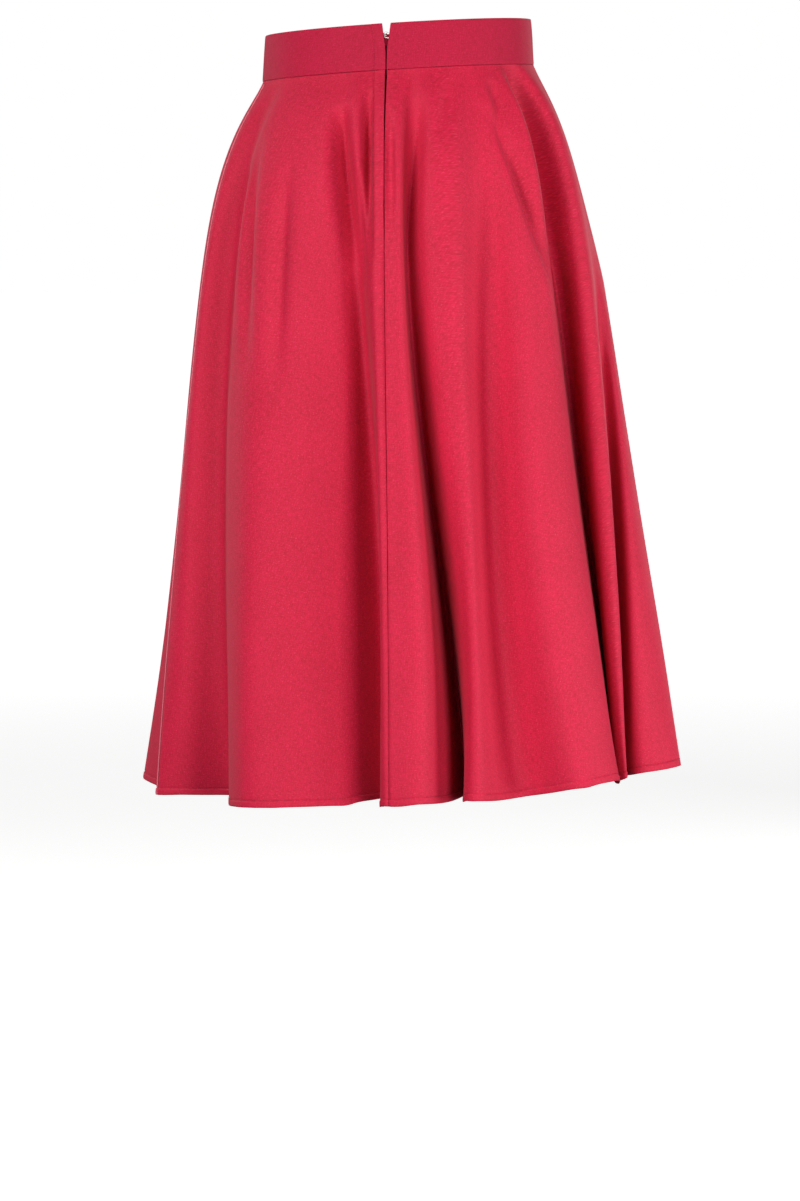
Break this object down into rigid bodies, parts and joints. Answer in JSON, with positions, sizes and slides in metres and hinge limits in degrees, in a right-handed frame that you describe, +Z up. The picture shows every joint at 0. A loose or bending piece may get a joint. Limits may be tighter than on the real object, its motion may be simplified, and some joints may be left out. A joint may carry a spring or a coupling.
{
  "type": "flared midi skirt",
  "caption": "Flared midi skirt of plain woven cloth in deep soft folds, with a plain waistband, a lapped zip at centre back and a hook and eye; hollow and open at waist and hem.",
  "frame": {"origin": "centre of the waistband at half its height, where the wearer's waist holds the skirt up", "axes": "+Z up, +Y towards centre back, +X towards the wearer's left"},
  "size_m": [0.5513, 0.4252, 0.7711],
  "materials": {
    "cloth": "matte twill weave with a soft sheen",
    "zip_tape": "matte woven tape",
    "zip_coil": "satin moulded coil",
    "metal": "bright nickel plating"
  },
  "bodies": {
    "root": {"waistband": "cloth", "front_panel": "cloth", "back_left_panel": "cloth", "back_right_panel": "cloth", "zip_tape_left": "zip_tape", "zip_tape_right": "zip_tape", "zip_chain": "zip_coil", "zip_slider": "metal", "zip_pull": "metal", "zip_stop": "metal", "hook": "metal", "eye": "metal"}
  },
  "joints": []
}
